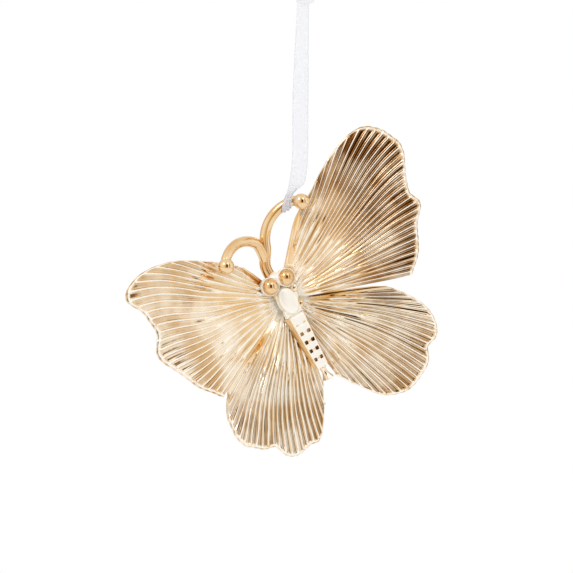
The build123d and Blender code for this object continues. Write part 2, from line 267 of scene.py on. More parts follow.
def strip(name, centre, lateral, half_width, fold, dense, body):
    """A closed woven strip on a centreline: lateral is its cross direction, fold its ripple in mm."""
    along = np.gradient(centre, axis=0)
    along /= np.linalg.norm(along, axis=1, keepdims=True)
    normal = np.cross(lateral, along)
    normal /= np.linalg.norm(normal, axis=1, keepdims=True)
    share = np.linspace(-1, 1, STRIP_STEPS + 1)
    selvedge = ease(np.abs(share), SELVEDGE_START, SELVEDGE_START + 0.06)
    ripple = fold[:, None] * np.cos(2.5 * pi * share)[None, :] + 0.16 * (share**2)[None, :]
    surface = centre[:, None] + lateral[:, None] * (half_width[:, None] * share)[:, :, None]
    surface = surface + normal[:, None] * ripple[:, :, None]
    lift = RIBBON_THICKNESS / 2 * (1 + 0.8 * selvedge)
    front = surface - normal[:, None] * lift[None, :, None]
    back = surface + normal[:, None] * lift[None, :, None]
    loop = np.concatenate([front, back[:, ::-1]], axis=1)
    middle = loop.mean(axis=1, keepdims=True)
    ends = [np.repeat(middle[:1], loop.shape[1], 1), np.repeat(middle[-1:], loop.shape[1], 1)]
    grid = np.concatenate([ends[0], loop, ends[1]])
    shades = np.concatenate([selvedge, selvedge[::-1]]) + 1.8 * dense[:, None]
    shades = np.concatenate([shades[:1], shades, shades[-1:]])
    piece = make_piece(name, [grid], organza, body, shades)
    travel = np.concatenate([[0], np.cumsum(np.linalg.norm(np.diff(centre, axis=0), axis=1))])
    weave = piece.data.uv_layers.new(name="weave")
    places = np.array([vertex.co[:] for vertex in piece.data.vertices]) / MM
    nearest = np.array([np.argmin(((centre - place) ** 2).sum(axis=1)) for place in places])
    reach = ((places - centre[nearest]) * lateral[nearest]).sum(axis=1)
    uv = np.stack([reach, travel[nearest]], axis=1)
    corner = np.zeros(len(piece.data.loops), dtype=np.int32)
    piece.data.loops.foreach_get("vertex_index", corner)
    weave.data.foreach_set("uv", uv[corner].ravel())
    return piece


ribbon_line = read_spline("ribbon_route", ROUTE)
height = ribbon_line[:, 2]
gather = 1 - ease(height, ROUTE[3][2], ROUTE[2][2])
width = np.interp(height, [ROUTE[1][2], 0], [RIBBON_WIDTH, TOP_WIDTH])
width = width + (BIGHT_WIDTH - width) * gather
cross_way = np.stack([np.ones_like(height), np.zeros_like(height), WIRE_SLOPE * gather], axis=1)
cross_way /= np.linalg.norm(cross_way, axis=1, keepdims=True)
ribbon = strip("ribbon_loop", ribbon_line, cross_way, width / 2, 0.22 * gather, gather, None)
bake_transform(ribbon)
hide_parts("ribbon_front_strand", "ribbon_back_strand", "ribbon_bight")

# %% [markdown]
# ## Knot and tails
# The knot is above the photograph's upper edge, so it is a plain overhand knot: the ribbon wound
# twice round itself into a soft barrel with pleats, and two short tails cut on the slant.

# %% Knot and tails
KNOT_CENTRE_X = 1.6
KNOT_HEIGHT = 4.2
KNOT_RADIUS = 3.2
KNOT_END_RADIUS = 2.56
TAIL_LENGTH = 11.0
TAIL_SPREAD = radians(24)
TAIL_ROOT = 3.36

turn, level = np.meshgrid(np.linspace(0, 2 * pi, 97)[:-1], np.linspace(0, 1, 49), indexing="xy")
barrel = KNOT_END_RADIUS + (KNOT_RADIUS - KNOT_END_RADIUS) * np.sin(pi * level)
winding = (2 * level + turn / (2 * pi)) % 1.0
barrel -= 0.34 * (1 - ease(winding, 0.0, 0.12)) * ease(level, 0.02, 0.1)
barrel -= 0.10 * (1 + np.sin(9 * turn + 5 * np.sin(3 * pi * level)))
barrel *= 1 - 0.35 * ease(np.abs(2 * level - 1), 0.86, 1.0)
knot_skin = np.stack(
    [KNOT_CENTRE_X + barrel * np.cos(turn), barrel * np.sin(turn), KNOT_HEIGHT * level], axis=2
)
knot_axis = np.zeros((1, turn.shape[1], 3))
knot_axis[..., 0] = KNOT_CENTRE_X
knot_top = knot_axis + np.array([0, 0, KNOT_HEIGHT])
knot_shades = np.full((turn.shape[0] + 2, turn.shape[1]), 0.55)
knot_skin = np.concatenate([knot_axis, knot_skin, knot_top])
knot = make_piece("ribbon_knot_wraps", [knot_skin], organza, "hanger", knot_shades)
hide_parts("ribbon_knot")
knot_uv = knot.data.uv_layers.new(name="weave")
for loop in knot.data.loops:
    spot = knot.data.vertices[loop.vertex_index].co / MM
    knot_uv.data[loop.index].uv = ((spot.x - KNOT_CENTRE_X) * 2, spot.z)

for side, label in ((-1, "front"), (1, "back")):
    way = np.linspace(0, TAIL_LENGTH, 40)
    sway = side * (way * sin(TAIL_SPREAD))
    curl = side * (0.35 + 0.010 * way**2)
    tail_line = np.stack([KNOT_CENTRE_X + sway, curl, TAIL_ROOT + way * cos(TAIL_SPREAD)], axis=1)
    tail_cross = np.tile([cos(TAIL_SPREAD), 0, -side * sin(TAIL_SPREAD)], (40, 1))
    tail_half = np.interp(way, [0, 3, TAIL_LENGTH], [1.1, 1.75, 1.9])
    tail_fold = 0.30 * (1 - ease(way, 0, 7))
    tail = strip("ribbon_tail_" + label, tail_line, tail_cross, tail_half, tail_fold, 0 * way, "hanger")
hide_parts("ribbon_tails")

# %% [markdown]
# ## Gold plate
# The casting is brass with a bright, pale gold plate. What it shows is mostly reflections, so the
# plate is a smooth metal whose gloss changes a little from place to place, as hand polishing leaves
# it. Low hollows get a warmer, darker colour, which is painted shade, and are a little rougher;
# ridges, rims, wing roots and domes get a paler colour, which is painted highlight.

# %% Gold material
# WIRE_SHADE marks the antennae and eye balls for a deeper gold, which is painted shade.
WIRE_SHADE = 2.0

gold = bpy.data.materials.new("gold_plated_brass")
gold.use_nodes = True
tree = gold.node_tree
shader = tree.nodes["Principled BSDF"]
place = add_node(tree, "ShaderNodeTexCoord")
cloud = add_node(
    tree, "ShaderNodeTexNoise",
    {"Vector": place.outputs["Object"], "W": 8.5, "Scale": 1 / (11 * MM), "Detail": 3.0},
    noise_dimensions="4D",
)
polish = add_node(
    tree, "ShaderNodeTexNoise", {"Vector": place.outputs["Object"], "Scale": 1 / (2.2 * MM), "Detail": 1.0}
)
recess = add_node(tree, "ShaderNodeAttribute", attribute_name="recess")
patch = add_node(tree, "ShaderNodeMapRange", {"Value": cloud.outputs[0], "From Min": 0.40, "From Max": 0.62})
plate = add_node(tree, "ShaderNodeMix", {0: patch.outputs[0]}, data_type="RGBA")
plate.inputs[6].default_value = to_linear("#FEF1DC")
plate.inputs[7].default_value = to_linear("#F2D3A2")
# Positive recess mixes in dark #82521C in random patches: painted shade in flutes, pits, rim edge.
deep = add_node(tree, "ShaderNodeMapRange", {"Value": recess.outputs["Fac"], "From Max": 1.3, "To Max": 0.95})
shade_patches = add_node(tree, "ShaderNodeMapRange", {"Value": patch.outputs[0], "To Min": 0.3, "To Max": 1.0})
hollow = add_node(tree, "ShaderNodeMath", {0: deep.outputs[0], 1: shade_patches.outputs[0]}, operation="MULTIPLY")
painted_shade = add_node(tree, "ShaderNodeMix", {0: hollow.outputs[0], 6: plate.outputs[2]}, data_type="RGBA")
painted_shade.inputs[7].default_value = to_linear("#82521C")
# Negative recess mixes in near white #FFFBF2 and lowers the metallic: painted highlight.
painted_highlight = add_node(tree, "ShaderNodeMapRange", {"Value": recess.outputs["Fac"], "From Max": -0.3, "To Max": 0.95})
bright = add_node(tree, "ShaderNodeMix", {0: painted_highlight.outputs[0], 6: painted_shade.outputs[2]}, data_type="RGBA")
bright.inputs[7].default_value = to_linear("#FFFBF2")
# Deeper gold for the antennae and eye balls: painted shade standing in for dark reflections.
painted_wire_shade = add_node(tree, "ShaderNodeMix", {0: patch.outputs[0]}, data_type="RGBA")
painted_wire_shade.inputs[6].default_value = to_linear("#F3D8B0")
painted_wire_shade.inputs[7].default_value = to_linear("#E6BE88")
is_wire = add_node(
    tree, "ShaderNodeMapRange", {"Value": recess.outputs["Fac"], "From Min": 1.6, "From Max": 1.8}
)
colour = add_node(
    tree, "ShaderNodeMix", {0: is_wire.outputs[0], 6: bright.outputs[2], 7: painted_wire_shade.outputs[2]},
    data_type="RGBA",
)
gloss = add_node(
    tree, "ShaderNodeMapRange",
    {"Value": cloud.outputs[0], "From Min": 0.3, "From Max": 0.7, "To Min": 0.04, "To Max": 0.10},
)
dull = add_node(
    tree, "ShaderNodeMath", {0: hollow.outputs[0], 1: 0.06, 2: gloss.outputs[0]}, operation="MULTIPLY_ADD"
)
cast = add_node(
    tree, "ShaderNodeBump", {"Height": polish.outputs[0], "Strength": 0.25, "Distance": 0.08 * MM}
)
tree.links.new(colour.outputs[2], shader.inputs["Base Color"])
satin = add_node(
    tree, "ShaderNodeMath", {0: painted_highlight.outputs[0], 1: 0.3, 2: dull.outputs[0]}, operation="MULTIPLY_ADD"
)
metal = add_node(tree, "ShaderNodeMapRange", {"Value": painted_highlight.outputs[0], "To Min": 1.0, "To Max": 0.30})
tree.links.new(satin.outputs[0], shader.inputs["Roughness"])
tree.links.new(cast.outputs[0], shader.inputs["Normal"])
tree.links.new(metal.outputs[0], shader.inputs["Metallic"])
print("gold plate ready")

# %% [markdown]
# ## The butterfly's own frame
# The butterfly is drawn upright and symmetrical, with its wings fanned round one point, and then
# turned to the way it hangs. The two eyes fix where that point is.

# %% Butterfly frame
HANG_ROLL = radians(28)
HANG_TURN = radians(17)
HANG_LEAN = radians(10)
EYE_PLACE = (3.1, -5.2, 6.7)

turned = Matrix.Rotation(-HANG_ROLL, 3, "Y") @ Matrix.Rotation(HANG_LEAN, 3, "X")
turned = np.array(turned @ Matrix.Rotation(HANG_TURN, 3, "Z"))
eye_corners = [corner for node in ("right_eye", "left_eye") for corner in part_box(node)]
eyes_middle = np.mean([list(corner) for corner in eye_corners], axis=0) / MM
hub_place = eyes_middle - turned @ np.array([0, *EYE_PLACE[1:]])


def hung(points):
    """Points of the butterfly's own frame, in mm, moved to where it hangs."""
    return points @ turned.T + hub_place


def gold_piece(name, grids, nodes, shades=None):
    """A gold piece of the butterfly from grids in its own frame; it stands for the named nodes."""
    piece = make_piece(name, [hung(grid) for grid in grids], gold, "butterfly", shades)
    if nodes:
        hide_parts(*nodes)
    return piece


print("wings fan round", hub_place.round(2), "mm")

# %% [markdown]
# ## Wings
# Each wing is a fan of thin ribs with broad flutes between them; the ribs carry painted highlight
# and the flutes painted shade. The ribs rise from nothing at the root, wander a little, and end in a
# lip that rolls over the rim, with a small scallop at each rib. The leading edge is a thick rounded
# wall. The skin follows the measured fan: the same outline, bow and thickness, with finer and rounder ribs.

# %% Wing skins
HUB_CENTRE = np.array([1.2, 0, 0])
RIB_STEPS = 16
RIB_SHARE = 0.44
RIB_HEIGHT = 0.9
SWELL = 0.13
FLUTE_TILT = 0.15
RIM_SCALLOP = 0.12
SHEET = 1.2
LEADING_EDGE = 2.2
EDGE_SHARE = 0.1
LEAD_ROLL = 3.4
LEAD_DROP = 1.0
WING_ROOT = 3.3
RIM_BAND = 4.0
ROLL_STEPS = 7
FOREWING = {"tilt": 18, "bow": 2.0, "reach": 63.0, "ribs": 30}
HINDWING = {"tilt": 15, "bow": 1.0, "reach": 51.5, "lead": -22, "trail": -84, "ribs": 24}
# dull sets how strong each wing's painted shade in the flutes is.
WINGS = {
    "right_forewing": dict(
        FOREWING, side=1, lead=51, trail=-16.5, bulge=2.0, seed=1071, dull=1.2,
        shares=(0.51, 0.75, 0.94, 1.00, 1.00, 0.96, 0.89, 0.86, 0.85, 0.78, 0.74, 0.71, 0.66),
    ),
    "left_forewing": dict(
        FOREWING, side=-1, lead=60, trail=-19, bulge=0.0, seed=1892, dull=0.5,
        shares=(0.31, 0.40, 0.54, 0.75, 0.93, 0.97, 0.88, 0.83, 0.87, 0.82, 0.78, 0.74, 0.68),
    ),
    "right_hindwing": dict(
        HINDWING, side=1, bulge=0.0, seed=1673, dull=0.8,
        shares=(0.66, 0.78, 0.90, 0.97, 0.99, 0.97, 1.00, 1.00, 0.99, 0.96, 0.88, 0.73, 0.60),
    ),
    "left_hindwing": dict(
        HINDWING, side=-1, bulge=0.0, seed=194, dull=0.8,
        shares=(0.77, 0.87, 0.94, 0.98, 0.99, 0.98, 0.95, 0.99, 0.98, 0.94, 0.90, 0.77, 0.62),
    ),
}


def smooth_shares(shares, place):
    """Values at places from 0 to 1 of a smooth curve through evenly spaced shares."""
    shares = np.array(shares)
    last = len(shares) - 1
    index = np.minimum((place * last).astype(int), last - 1)
    part_way = place * last - index
    start, end = shares[index], shares[index + 1]
    start_slope = (end - shares[np.maximum(index - 1, 0)]) / 2
    end_slope = (shares[np.minimum(index + 2, last)] - start) / 2
    square, cube = part_way**2, part_way**3
    bend = start_slope * (cube - 2 * square + part_way) + end_slope * (cube - square)
    return start + (end - start) * (3 * square - 2 * cube) + bend


def rib_profile(ridge):
    """Height of a thin rib with a broad flute beside it, from 0 in the flute to 1 on the ridge."""
    return 0.7 * np.exp(-(((1 - ridge) / 0.31) ** 2)) + 0.3 * ridge**2


def wing_skin(side, tilt, bow, reach, shares, lead, trail, ribs, bulge, seed, dull):
    """Grid of one wing's closed sections, its painted shade and highlight values, and the rib ends on the rim."""
    chance = np.random.default_rng(seed)
    span = np.array([side * cos(radians(tilt)), -sin(radians(tilt)), 0])
    face = np.array([-side * sin(radians(tilt)), -cos(radians(tilt)), 0])
    up = np.array([0, 0, 1.0])
    fan = radians(lead - trail)
    place = np.linspace(0, 1, ribs * RIB_STEPS + 1)
    rib = np.minimum((place * ribs).astype(int), ribs - 1)
    ridge = 1 - np.abs(2 * (place * ribs % 1.0) - 1)
    pair_ridge = 1 - np.abs(2 * (place * ribs / 2 % 1.0) - 1)
    four_ridge = 1 - np.abs(2 * (place * ribs / 4 % 1.0) - 1)
    single = rib_profile(ridge) * chance.uniform(0.7, 1.15, ribs)[rib]
    double = rib_profile(pair_ridge) * chance.uniform(0.7, 1.15, ribs // 2)[rib // 2]
    uneven = smooth_shares(chance.normal(0, 0.45, ribs // 2 + 1), place)
    thickness = SHEET + (LEADING_EDGE - SHEET) * np.maximum(0, 1 - place / EDGE_SHARE)
    rim = reach * smooth_shares(shares, place) - RIM_SCALLOP * (1 - np.sqrt(ridge)) + np.minimum(uneven, 0.3)
    inner = np.linspace(0, 1, 44)[:-1, None]
    outer = np.linspace(0, 1, 20)[:, None]
    band_start = rim - RIM_BAND
    band_end = rim - thickness / 2
    radius = np.concatenate(
        [WING_ROOT + (band_start - WING_ROOT) * inner, band_start + (band_end - band_start) * outer]
    )
    from_rim = rim - radius
    fork_start = chance.uniform(0.22, 0.46, ribs // 2)[rib // 2]
    fork = ease(radius / reach, fork_start, fork_start + 0.16)
    root_fork = ease(radius / reach, 0.13, 0.24)
    height = np.minimum(RIB_SHARE * radius * fan / ribs * (2 - fork) * (2 - root_fork), RIB_HEIGHT)
    lead_gap = radius * fan * place
    lead_width = LEAD_ROLL * (1 - 0.8 * ease(radius / reach, 0.1, 0.65))
    growth = ease(radius, 3.8, 7.5) * ease(from_rim, 0.3, 1.8) * ease(lead_gap / lead_width, 0.5, 1.1)
    wander = 1 + 0.2 * np.sin(2 * pi * (radius / 13 + chance.uniform(0, 1, ribs)[rib]))
    paired = 0.9 * rib_profile(four_ridge) * (1 - root_fork) + double * root_fork
    crest = paired * (1 - fork) + single * fork
    lip = 0.3 * np.exp(-(((from_rim - 0.8) / 0.5) ** 2))
    swell = np.zeros_like(radius)
    sway = np.zeros_like(radius)
    for wave in range(5):
        swell_way = chance.uniform(0.4, 1.7) * pi
        swell_turn = chance.uniform(-4.0, 4.0) * pi
        phase = chance.uniform(0, 2 * pi)
        swell += np.sin(swell_way * radius / 22 + swell_turn * place + phase)
        sway += np.sin(0.6 * swell_way * radius / 22 + 0.5 * swell_turn * place - phase)
    front = 4 * bow * radius / reach * (1 - radius / reach) + height * crest * growth * wander
    tilted = np.interp(place * ribs, np.arange(ribs + 1), chance.normal(0, FLUTE_TILT, ribs + 1))
    front = front + SWELL * swell * ease(radius / reach, 0.12, 0.5) + tilted * growth
    back = front - thickness * (1 - 0.45 * (1 - ease(from_rim, 0, 6)))
    front = front + lip * ease(radius / reach, 0.1, 0.3) - LEAD_DROP * (1 - ease(lead_gap / lead_width, 0, 1))
    middle_share = np.sin(pi * place) * np.sin(pi * np.clip(radius / reach, 0, 1))
    sweep = radians(3.2) * middle_share + radians(0.5) * sway * middle_share
    lead_swell = bulge * ease(radius, 4, 9) * (1 - ease(radius, 22, 38)) * (1 - ease(lead_gap, 0, 9))
    angle = radians(lead) - fan * place + sweep + lead_swell / radius
    roll = np.linspace(0, pi, ROLL_STEPS + 2)[1:-1, None]
    half, middle = (front[-1] - back[-1]) / 2, (front[-1] + back[-1]) / 2
    roll_radius = radius[-1] + half * np.sin(roll)
    roll_height = middle + half * np.cos(roll)
    radii = np.concatenate([radius, roll_radius, radius[::-1]])
    heights = np.concatenate([front, roll_height, back[::-1]])
    angles = np.concatenate([angle, np.tile(angle[-1], (ROLL_STEPS, 1)), angle[::-1]])
    flat = (radii * np.cos(angles))[..., None] * span + (radii * np.sin(angles))[..., None] * up
    grid = np.swapaxes(HUB_CENTRE + flat + heights[..., None] * face, 0, 1)
    # Painted shade in the flutes, darker towards the rim and scaled by dull; painted highlight on the crests, the root
    # and the lip; a painted shade line at each rib's end on the rolled rim.
    tone = dull * (0.3 + 0.9 * ease(radius / rim, 0.35, 0.9))
    hollow = (tone - (0.9 + tone) * np.clip(crest, 0, 1)) * growth - 0.7 * (1 - ease(radius, 4, 9))
    hollow = hollow - 0.7 * (1 - ease(from_rim, 0.8, 1.5))
    shade = np.concatenate([hollow, np.tile(1.1 * ridge, (ROLL_STEPS, 1)), hollow[::-1]]).T
    edges = []
    for column, way in ((0, 1), (-1, -1)):
        section = grid[column]
        centre, lift = (section + section[::-1]) / 2, (section - section[::-1]) / 2
        outward = way * (up * cos(angle[0, column]) - span * sin(angle[0, column]))
        size = np.linalg.norm(lift, axis=1, keepdims=True)
        turns = np.linspace(0, pi / 2, 7)[1:]
        edges.append([centre + lift * cos(t) + outward * size * sin(t) for t in turns])
    grid = np.concatenate([np.array(edges[0][::-1]), grid, np.array(edges[1])])
    shade = np.concatenate([np.tile(shade[:1], (6, 1)), shade, np.tile(shade[-1:], (6, 1))])
    ends = 6 + RIB_STEPS // 2 + RIB_STEPS * np.arange(ribs)
    return grid, shade, grid[ends, len(radius) - 3]


rib_ends = []
for name, form in WINGS.items():
    skin, shade, ends = wing_skin(**form)
    gold_piece(name + "_skin", [skin], [name], shade)
    rib_ends.append(ends)
print(sum(len(ends) for ends in rib_ends), "ribs")

# %% [markdown]
# ## Thorax, waist, abdomen and tail
# The thorax is an oval plate with a high dome that mirrors the room. Below a plain band, the abdomen
# is a ladder of six rounded rungs between two rails, open to dark pits at both sides, and ends in a
# small flared tail. All are cast, so every edge is a little rounded.


# %% Body pieces
def lathe(profile, centre, axis, across, turns=64, lobes=0, lobe_height=0.0):
    """Grid turned round an axis from (radius, height) pairs; across holds the two cross directions."""
    profile = np.array(profile, dtype=float)
    angle = np.linspace(0, 2 * pi, turns + 1)[:-1]
    ripple = 1 + lobe_height * np.cos(lobes * angle)[None, :] * (profile[:, :1] / profile[:, 0].max()) ** 2
    first, second = (np.array(way, dtype=float) for way in across)
    ring = np.cos(angle)[:, None] * first + np.sin(angle)[:, None] * second
    spread = (profile[:, 0][:, None] * ripple)[..., None] * ring[None]
    return np.array(centre) + spread + profile[:, 1][:, None, None] * np.array(axis, dtype=float)


thorax_profile = [(0, 0), (0.98, 0), (1.0, 0.12), (1.0, 1.25), (0.985, 1.42), (0.975, 1.5), (0.962, 1.5), (0.955, 1.56)]
thorax_profile += [(0.95, 1.7), (0.95, 2.9), (0.93, 3.2), (0.89, 3.4), (0.82, 3.54), (0.65, 3.71), (0.4, 3.83)]
thorax_profile += [(0.2, 3.89), (0.0, 3.9)]
thorax = lathe(thorax_profile, (0, -2.8, -0.2), (0, -1, 0), ((3.2, 0, 0), (0, 0, 4.7)), 96)
# The dome is painted near white all over, a painted highlight.
gold_piece("thorax_dome", [thorax], ["thorax"], -0.4)

WAIST_TOP = -2.8
turns = np.linspace(0, 2 * pi, 73)[:-1]
oval_x = 3.3 * np.sign(np.cos(turns)) * np.abs(np.cos(turns)) ** 0.45
oval_y = -4.1 + 1.3 * np.sign(np.sin(turns)) * np.abs(np.sin(turns)) ** 0.6
levels = np.linspace(0, 1, 41)
swell = 0.90 + 0.10 * np.abs(np.cos(2 * pi * levels)) ** 0.5
swell *= 1 - 0.12 * ease(np.abs(2 * levels - 1), 0.8, 1.0)
band = np.stack(
    [
        np.outer(swell, oval_x),
        -4.1 + np.outer(swell, oval_y + 4.1),
        np.tile((WAIST_TOP - 2.6 * levels)[:, None], (1, 72)),
    ],
    axis=2,
)
caps = [np.tile(np.array([0, -4.1, z]), (1, 72, 1)) for z in (WAIST_TOP, WAIST_TOP - 2.6)]
# The waist band gets the same near-white painted highlight.
gold_piece("waist_collar", [np.concatenate([caps[0], band, caps[1]])], ["waist_band"], -0.35)

ABDOMEN_TOP = -5.4
ABDOMEN_LENGTH = 19.2
RUNGS = 6
sections = np.linspace(0, 1, 241)
shrink = 1 - 0.28 * sections
depth = 3.3 - 0.7 * sections
pitch_place = (sections * RUNGS) % 1.0
rung = 1 - ease(np.abs(pitch_place - 0.5), 0.25, 0.43)
share = np.linspace(-1, 1, 49)
rail = ease(np.abs(share), 0.74, 0.84)
rail_round = 0.28 * ease(np.abs(share), 0.88, 1.0)
open_share = 0.05 + 0.95 * ease(sections, 0.05, 0.55) * (1 - ease(sections, 0.80, 0.96))
gap = np.outer(open_share, 0.26 + 1.35 * ease(np.abs(share), 0.26, 0.40) * (0.85 + 0.15 * share))
relief = -gap * (1 - rung[:, None]) + np.outer(rung, 0.35 * np.sqrt(np.maximum(0, 1 - (share / 0.95) ** 2)))
relief = relief * (1 - rail) + (0.10 * rung[:, None] - rail_round) * rail
front_x = np.outer(2.6 * shrink, share)
front_y = -2.8 - depth[:, None] - relief * shrink[:, None]
side_share = np.linspace(0, 1, 14)[1:]
bulge = 0.30 * np.sin(pi * side_share)
right_x = np.outer(shrink, 2.6 + 1.0 * side_share + bulge)
right_y = -2.8 - np.outer(depth - 0.28 * shrink, 1 - side_share)
back_share = np.linspace(1, -1, 15)[1:-1]
back_x = np.outer(3.6 * shrink, back_share)
back_y = np.tile(-2.8 + 0.25 * (1 - back_share**2), (len(sections), 1))
outline_x = np.concatenate([front_x, right_x, back_x, -right_x[:, ::-1]], axis=1)
outline_y = np.concatenate([front_y, right_y, back_y, right_y[:, ::-1]], axis=1)
outline_z = np.tile((ABDOMEN_TOP - ABDOMEN_LENGTH * sections)[:, None], (1, outline_x.shape[1]))
abdomen = np.stack([outline_x, outline_y, outline_z], axis=2)
ends = [np.tile(abdomen[end].mean(axis=0), (1, abdomen.shape[1], 1)) for end in (0, -1)]
# Painted shade darkens the deep pits, and the rungs and shallow parts get a painted highlight.
ladder_shade_and_highlight = np.full(abdomen.shape[:2], 0.1)
ladder_shade_and_highlight[:, : len(share)] = np.clip((-relief - 0.1) / 1.1, 0, 1) * 1.6 - 0.35
ladder_shade_and_highlight = np.concatenate([ladder_shade_and_highlight[:1], ladder_shade_and_highlight, ladder_shade_and_highlight[-1:]])
gold_piece("abdomen_ladder", [np.concatenate([ends[0], abdomen, ends[1]])], ["abdomen", "abdomen_rungs"], ladder_shade_and_highlight)

finial_profile = [(0, 0), (1.25, 0.0), (1.12, 0.5), (0.95, 1.1), (0.9, 1.6), (1.0, 2.2), (1.25, 2.9), (1.6, 3.6)]
finial_profile += [(1.9, 4.15), (1.98, 4.35), (1.9, 4.4), (1.7, 4.25), (1.3, 3.6), (0.7, 3.1), (0, 2.95)]
finial = lathe(finial_profile, (0, -4.1, ABDOMEN_TOP - ABDOMEN_LENGTH), (0, 0, -1), ((1, 0, 0), (0, 1, 0)), 72, 6, 0.05)
gold_piece("tail_flare", [finial], ["tail_finial"])

# %% [markdown]
# ## Head and eyes
# Two cups carry the polished ball eyes, and a rounded crown behind them takes the antennae's stem.

# %% Head and eyes
EYE_RADIUS = 2.72
cup_profile = [(0, 1.5), (2.85, 1.5), (3.0, 1.38), (3.05, 1.1), (3.05, -0.3), (3.0, -0.5), (2.88, -0.6), (2.74, -0.55)]
cup_profile += [(2.66, -0.4), (2.62, 0.0), (2.35, 0.9), (1.5, 1.25), (0, 1.3)]
round_xz = ((1, 0, 0), (0, 0, 1))
head_parts, eye_balls = [], {}
for side, node in ((1, "right_eye"), (-1, "left_eye")):
    centre = np.array([side * EYE_PLACE[0], *EYE_PLACE[1:]])
    head_parts.append(lathe(cup_profile, centre, (0, 1, 0), round_xz, 72))
    ball = [(EYE_RADIUS * sin(t), -EYE_RADIUS * cos(t)) for t in np.linspace(0, pi, 49)]
    eye_balls[node] = lathe(ball, centre, (0, 1, 0), round_xz, 72)
crown_profile = [(2.6 * sin(t), -2.6 * cos(t)) for t in np.linspace(0, pi, 37)]
head_parts.append(lathe(crown_profile, (0, -3.4, 7.5), (0, 0, 1), ((1, 0, 0), (0, 1, 0)), 72))
neck_profile = [(0, 3.2), (1.45, 3.2), (1.3, 4.2), (1.35, 5.4), (1.8, 6.4), (0, 6.6)]
head_parts.append(lathe(neck_profile, (1.2, -1.3, 0), (0, 0, 1), ((1, 0, 0), (0, 1, 0)), 48))
# The cups, crown and neck get the near-white painted highlight.
gold_piece("head_cups", head_parts, ["head"], -0.4)
for node, ball in eye_balls.items():
    gold_piece(node + "_ball", [ball], [node], WIRE_SHADE)

# %% [markdown]
# ## Antennae
# A stem rises between the eyes and parts into two stout wires of round section. Each curls over and
# ends in a ball, with a small fillet where the wire runs into it. The right one carries the ribbon.

# %% Antennae
WIRE_RADIUS = 1.55
BALL_RADIUS = 2.6
STEM_LENGTH = 11.6
STEM_BOW = 1.2
JOIN_STEPS = 14
CURL_RADIUS = 13.0
TIP_RADIUS = 3.5


def turn_about(vector, axis, angle):
    """A vector turned about an axis by an angle in radians."""
    return np.array(Matrix.Rotation(angle, 3, Vector(axis)) @ Vector(vector))


def arc(start, way, toward, radius, angle, steps):
    """Points of an arc that leaves start along way and bends toward a side, and its last heading."""
    turns = np.linspace(0, angle, steps)[1:]
    points = [start + radius * (way * sin(t) + toward * (1 - cos(t))) for t in turns]
    return points, way * cos(angle) + toward * sin(angle)


def tube(path, radii, turns=40):
    """Grid of a tube along a path with a radius at each point, closed at both ends."""
    path = np.array(path)
    along = np.gradient(path, axis=0)
    along /= np.linalg.norm(along, axis=1, keepdims=True)
    first = np.cross(along[0], [0.3, 1, 0.2])
    rings = []
    for point, way, radius in zip(path, along, radii):
        first = first - way * (first @ way)
        first /= np.linalg.norm(first)
        second = np.cross(way, first)
        angle = np.linspace(0, 2 * pi, turns + 1)[:-1, None]
        rings.append(point + radius * (np.cos(angle) * first + np.sin(angle) * second))
    caps = [np.tile(path[end], (1, turns, 1)) for end in (0, -1)]
    return np.concatenate([caps[0], np.array(rings), caps[1]])


up = np.array([0, 0, 1.0])
out_right = np.array([cos(radians(18)), -sin(radians(18)), 0])
stem_way = out_right * cos(radians(72)) + up * sin(radians(72))
stem_root = np.array([0, -2.3, 7.5]) - 0.9 * out_right


def on_stem(share):
    """A point of the stem, which bows a little to the left between the eyes and the curl."""
    return stem_root + stem_way * STEM_LENGTH * share - out_right * STEM_BOW * sin(pi * share) ** 2


stem_points = [on_stem(share) for share in np.linspace(0.12, 1, 24)]
bend_right = out_right * sin(radians(72)) - up * cos(radians(72))
curl_points, curl_way = arc(stem_points[-1], stem_way, bend_right, CURL_RADIUS, radians(77), 60)
tip_bend = turn_about(np.cross(curl_way, np.cross(out_right, up)), curl_way, -radians(72))
tip_points, tip_way = arc(curl_points[-1], curl_way, tip_bend, TIP_RADIUS, radians(80), 24)
right_path = stem_points + curl_points + tip_points

out_left = np.array([-cos(radians(30)), -sin(radians(30)), 0])
left_way = out_left * cos(radians(65)) + up * sin(radians(65))
bend_left = out_left * sin(radians(65)) - up * cos(radians(65))
left_root = stem_root + stem_way * STEM_LENGTH * (0.12 + 0.88 * 0.86)
left_curl, left_curl_way = arc(left_root, left_way, bend_left, CURL_RADIUS, radians(95), 60)
left_bend = np.cross(left_curl_way, np.cross(out_left, up))
left_tip, left_tip_way = arc(left_curl[-1], left_curl_way, left_bend, TIP_RADIUS, radians(42), 18)
left_end = left_curl[JOIN_STEPS]
left_heading = left_curl[JOIN_STEPS + 1] - left_end
left_heading /= np.linalg.norm(left_heading)
join_start, join_low, join_high = on_stem(0.25), on_stem(0.62), left_end - 3.0 * left_heading
join = []
for t in np.linspace(0, 1, 30)[:-1]:
    near = (1 - t) ** 3 * join_start + 3 * (1 - t) ** 2 * t * join_low
    join.append(near + 3 * (1 - t) * t**2 * join_high + t**3 * left_end)
left_path = join + left_curl[JOIN_STEPS:] + left_tip

